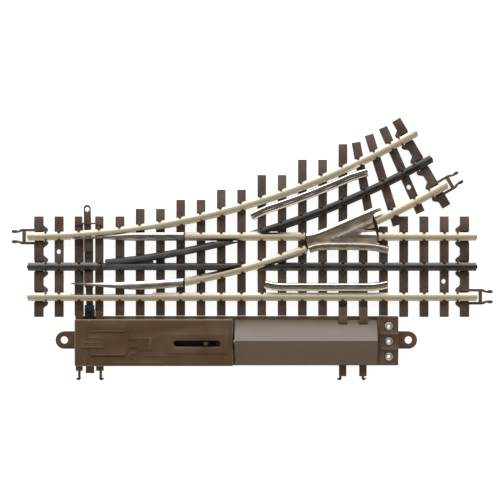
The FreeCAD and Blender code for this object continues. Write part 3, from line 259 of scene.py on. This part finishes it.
def frog_metal():
    m = Mat("frog_plating", (0.46, 0.40, 0.35), 0.36, 1.0)
    z = m.height()
    base = m.noise(m.coords(), 180.0, 5.0)
    col = m.ramp(base, [(0.28, (0.40, 0.345, 0.275)), (0.52, (0.52, 0.46, 0.38)), (0.78, (0.66, 0.60, 0.52))])
    # painted highlight: the raised tops above 8.3 mm are mixed to a paler grey; they are also made smoother below
    bright = m.rng(z, 0.0083, 0.0090, 0.0, 0.85)
    col = m.mix(bright, col, (0.57, 0.54, 0.50))
    m.color(col)
    rr = m.rng(base, 0.3, 0.7, 0.34, 0.50)
    sm = m.rng(z, 0.0083, 0.0090, 0.0, 1.0)
    mixr = m.new("ShaderNodeMix", data_type="FLOAT")
    m.link(sm, mixr.inputs[0])
    m.link(rr, mixr.inputs[2])
    mixr.inputs[3].default_value = 0.27
    m.rough(mixr.outputs[0])
    m.bump(m.noise(m.coords(), 1300.0, 3.0), 0.22, 0.00006)
    return m.m


def bright(name="bright_plating", k=1.0, r=0.13):
    m = Mat(name, (0.86 * k, 0.84 * k, 0.81 * k), 0.16, 1.0)
    base = m.noise(m.coords(), 140.0, 4.0)
    col = m.ramp(base, [(0.3, (0.74 * k, 0.71 * k, 0.67 * k)), (0.55, (0.86 * k, 0.84 * k, 0.81 * k)), (0.8, (0.93 * k, 0.92 * k, 0.90 * k))])
    m.color(col)
    m.rough(m.rng(base, 0.3, 0.75, r, r + 0.11))
    m.bump(m.noise(m.coords(0.3, 1, 1), 500.0, 2.0), 0.05, 0.00004)
    return m.m


def steel(name, col, r, stretch=(1, 1, 1), sc=2200.0):
    m = Mat(name, col, r, 1.0)
    base = m.noise(m.coords(), 260.0, 4.0)
    lo = tuple(c * 0.72 for c in col)
    hi = tuple(min(1, c * 1.22) for c in col)
    m.color(m.ramp(base, [(0.3, lo), (0.55, col), (0.8, hi)]))
    m.rough(m.rng(base, 0.3, 0.7, r - 0.06, r + 0.10))
    m.bump(m.noise(m.coords(*stretch), sc, 2.0), 0.15, 0.00004)
    return m.m


def copper():
    m = Mat("enamelled_wire", (0.50, 0.16, 0.05), 0.28, 0.9)
    w = m.new("ShaderNodeTexWave", wave_type="BANDS", bands_direction="X", wave_profile="SIN")
    w.inputs["Scale"].default_value = 2600.0 / 20.0
    w.inputs["Distortion"].default_value = 0.15
    w.inputs["Detail"].default_value = 1.0
    m.link(m.coords(20, 20, 20), w.inputs["Vector"])
    # painted shade in the grooves between wire turns and painted highlight on their crests, on the same bands as the
    # bump
    m.color(m.ramp(w.outputs["Fac"], [(0.0, (0.17, 0.045, 0.012)), (0.5, (0.50, 0.16, 0.05)), (1.0, (0.75, 0.30, 0.11))]))
    m.bump(w.outputs["Fac"], 0.7, 0.00012)
    m.set(Coat_Weight=0.6, Coat_Roughness=0.1)
    return m.m


M["nickel_silver"] = nickel()
M["blackened_rail"] = black_rail()
M["black_casting"] = black_cast()
M["frog_plating"] = frog_metal()
M["bright_plating"] = bright()
M["blade_plating"] = bright("blade_plating", 0.62, 0.24)
M["eyelet_plating"] = bright("eyelet_plating", 0.62, 0.30)
M["steel_screws"] = steel("plain_steel", (0.40, 0.39, 0.37), 0.34)
M["steel_frame"] = steel("zinc_plate", (0.50, 0.50, 0.50), 0.30, (0.3, 1, 1))
M["spring_steel"] = steel("spring_steel", (0.55, 0.55, 0.56), 0.25, (0.2, 1, 1))
M["brass_strip"] = steel("brass_strip", (0.72, 0.50, 0.20), 0.28, (0.3, 1, 1))
M["copper_wire"] = copper()

slot_of = {s["node"]: s["material_slot"] for s in frame["record"]["subparts"]}
slot_of["point_blade_straight"] = slot_of["point_blade_diverging"] = "blade_plating"
slot_of["terminal_eyelets"] = "eyelet_plating"
slot_of["coil_cover"] = "cover_brown"

# ------------------------------------------------------------------ CAD nodes: soft edges and finish
gn = bpy.data.node_groups.new("smooth_by_angle", "GeometryNodeTree")
gn.interface.new_socket("Geometry", in_out="INPUT", socket_type="NodeSocketGeometry")
gn.interface.new_socket("Geometry", in_out="OUTPUT", socket_type="NodeSocketGeometry")
g_in = gn.nodes.new("NodeGroupInput")
g_out = gn.nodes.new("NodeGroupOutput")
s_face = gn.nodes.new("GeometryNodeSetShadeSmooth")
s_face.domain = "FACE"
s_edge = gn.nodes.new("GeometryNodeSetShadeSmooth")
s_edge.domain = "EDGE"
s_edge.inputs["Shade Smooth"].default_value = False
e_ang = gn.nodes.new("GeometryNodeInputMeshEdgeAngle")
cmp_n = gn.nodes.new("FunctionNodeCompare")
cmp_n.data_type = "FLOAT"
cmp_n.operation = "GREATER_THAN"
cmp_n.inputs[1].default_value = math.radians(33)
gn.links.new(g_in.outputs[0], s_face.inputs["Geometry"])
gn.links.new(s_face.outputs[0], s_edge.inputs["Geometry"])
gn.links.new(e_ang.outputs["Unsigned Angle"], cmp_n.inputs[0])
gn.links.new(cmp_n.outputs[0], s_edge.inputs["Selection"])
gn.links.new(s_edge.outputs[0], g_out.inputs[0])

BEVEL = {
    "tie_base": (0.14, 2), "rail_spikes": (0.30, 2), "machine_base": (0.15, 2), "machine_case": (0.11, 2),
    "access_hatch": (0.26, 2), "coil_cover": (0.25, 3), "terminal_block": (0.22, 2), "throwbar": (0.20, 2),
    "output_slide": (0.22, 2), "throwbar_keeper": (0.15, 2), "drive_slide": (0.2, 2),
    "centre_rail_y_casting": (0.16, 2), "frog_casting": (0.12, 2), "guard_rail_straight": (0.12, 2),
    "guard_rail_diverging": (0.12, 2), "terminal_eyelets": (0.10, 2), "hand_pin": (0.35, 3),
    "point_blade_straight": (0.07, 2), "point_blade_diverging": (0.07, 2),
    "rail_insulators": (0.08, 1),
}
for name, ob in nodes.items():
    ob.data.materials.clear()
    ob.data.materials.append(M[slot_of[name]])
    for p in ob.data.polygons:
        p.material_index = 0
    w = ob.modifiers.new("weld", "WELD")
    w.merge_threshold = 2e-6
    bw, seg = BEVEL.get(name, (0.10, 1))
    bv = ob.modifiers.new("bevel", "BEVEL")
    bv.width = bw * MM
    bv.segments = seg
    bv.limit_method = "ANGLE"
    bv.angle_limit = math.radians(32)
    bv.use_clamp_overlap = True
    bv.harden_normals = False
    bv.miter_outer = "MITER_ARC"
    sm = ob.modifiers.new("smooth", "NODES")
    sm.node_group = gn

# ------------------------------------------------------------------ claws of the end-tie clips over the rail foot
OFF = (127.0, 10.0417)
R0 = 457.2
RUN = 17.05


def on_arc(p, q, r):
    """Where the tie from p to q meets the circle of radius r about (0, R0)."""
    dx, dy = q[0] - p[0], q[1] - p[1]
    a = dx * dx + dy * dy
    b = 2 * (p[0] * dx + (p[1] - R0) * dy)
    c = p[0] ** 2 + (p[1] - R0) ** 2 - r * r
    t = [(-b + k * math.sqrt(b * b - 4 * a * c)) / (2 * a) for k in (-1, 1)]
    t = [v for v in t if 0 < v < 1][0]
    x, y = p[0] + t * dx, p[1] + t * dy
    return x, y, math.atan2(x, R0 - y)


places = [(6.0, 0.0, 0.0, 1), (6.0, -RUN, 0.0, 1)]
places.append((*on_arc((6.0, -28.0), (6.0, 28.0), R0 - RUN), 1))
for y in (-RUN, 0.0, RUN):
    places.append((6.0 + 21 * 11.495, y, 0.0, -1))
for r in (R0 - RUN, R0, R0 + RUN):
    places.append((*on_arc((237.2, 34.2), (208.6, 83.3), r), -1))

cm = bpy.data.meshes.new("clip_claws")
bm = bmesh.new()
for px, py, ang, sgn in places:
    for s in (-1, 1):
        for (x0, x1, y0, y1, z0, z1) in ((3.45, 4.6, 1.9, 4.0, 5.16, 5.85), (3.45, 4.6, 3.05, 4.0, 4.7, 5.3)):
            vs = []
            for z in (z0, z1):
                for x, y in ((x0, y0), (x1, y0), (x1, y1), (x0, y1)):
                    lx, ly = sgn * x, s * y
                    wx = px + lx * math.cos(ang) - ly * math.sin(ang) - OFF[0]
                    wy = py + lx * math.sin(ang) + ly * math.cos(ang) - OFF[1]
                    vs.append(bm.verts.new((wx * MM, wy * MM, z * MM)))
            for f in ((0, 1, 2, 3), (4, 5, 6, 7), (0, 1, 5, 4), (1, 2, 6, 5), (2, 3, 7, 6), (3, 0, 4, 7)):
                bm.faces.new([vs[i] for i in f])
bmesh.ops.recalc_face_normals(bm, faces=bm.faces[:])
bm.to_mesh(cm)
bm.free()
claws = bpy.data.objects.new("clip_claws", cm)
scene.collection.objects.link(claws)
cm.materials.append(M["tie_brown"])
cb = claws.modifiers.new("bevel", "BEVEL")
cb.width = 0.22 * MM
cb.segments = 3
cs = claws.modifiers.new("smooth", "NODES")
cs.node_group = gn
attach(claws, "track_and_machine")

# ------------------------------------------------------------------ stage, light, camera
floor_mesh = bpy.data.meshes.new("floor")
bm = bmesh.new()
bmesh.ops.create_grid(bm, x_segments=2, y_segments=2, size=3.0)
bm.to_mesh(floor_mesh)
bm.free()
floor = bpy.data.objects.new("floor", floor_mesh)
scene.collection.objects.link(floor)
floor.location = (0, 0, cad_box[0][2] - 0.00002)
fm = bpy.data.materials.new("pale_floor")
fm.use_nodes = True
fb = fm.node_tree.nodes["Principled BSDF"]
fb.inputs["Base Color"].default_value = (0.55, 0.55, 0.55, 1)
fb.inputs["Roughness"].default_value = 0.9
fb.inputs["Specular IOR Level"].default_value = 0.1
fb.inputs["Emission Color"].default_value = (1, 1, 1, 1)
fb.inputs["Emission Strength"].default_value = 0.90
floor_mesh.materials.append(fm)


def area(name, loc, size, power, target=(0, 0, 0.005), color=(1, 1, 1)):
    d = bpy.data.lights.new(name, "AREA")
    d.shape = "RECTANGLE"
    d.size, d.size_y = size
    d.energy = power
    d.color = color
    o = bpy.data.objects.new(name, d)
    scene.collection.objects.link(o)
    o.location = loc
    v = Vector(target) - Vector(loc)
    o.rotation_euler = v.to_track_quat("-Z", "Y").to_euler()
    return o


area("key_softbox", (0.0, 0.80, 0.50), (2.0, 1.1), 22.0)
area("fill_left", (-0.9, -0.1, 0.6), (0.8, 0.8), 2.5, color=(1.0, 0.95, 0.88))
area("fill_right", (0.9, -0.1, 0.6), (0.8, 0.8), 2.5, color=(1.0, 0.95, 0.88))
area("fill_front", (0.0, -0.8, 0.6), (1.6, 0.7), 3.2, color=(1.0, 0.88, 0.70))

world = bpy.data.worlds.new("studio")
scene.world = world
world.use_nodes = True
world.node_tree.nodes["Background"].inputs["Color"].default_value = (1.0, 0.86, 0.70, 1)
world.node_tree.nodes["Background"].inputs["Strength"].default_value = 0.10

cam_d = bpy.data.cameras.new("camera")
cam = bpy.data.objects.new("camera", cam_d)
scene.collection.objects.link(cam)
DIST = 1.2
VIEW_W = 0.2823
cam.location = (-0.00125, -0.0006, 0.008 + DIST)
cam.rotation_euler = (0, 0, 0)
cam_d.sensor_width = 36.0
cam_d.lens = 36.0 * DIST / VIEW_W
cam_d.clip_end = 20.0
scene.camera = cam
scene.view_settings.view_transform = "Standard"
scene.view_settings.look = "None"
scene.view_settings.exposure = 0.0

bpy.context.view_layer.update()
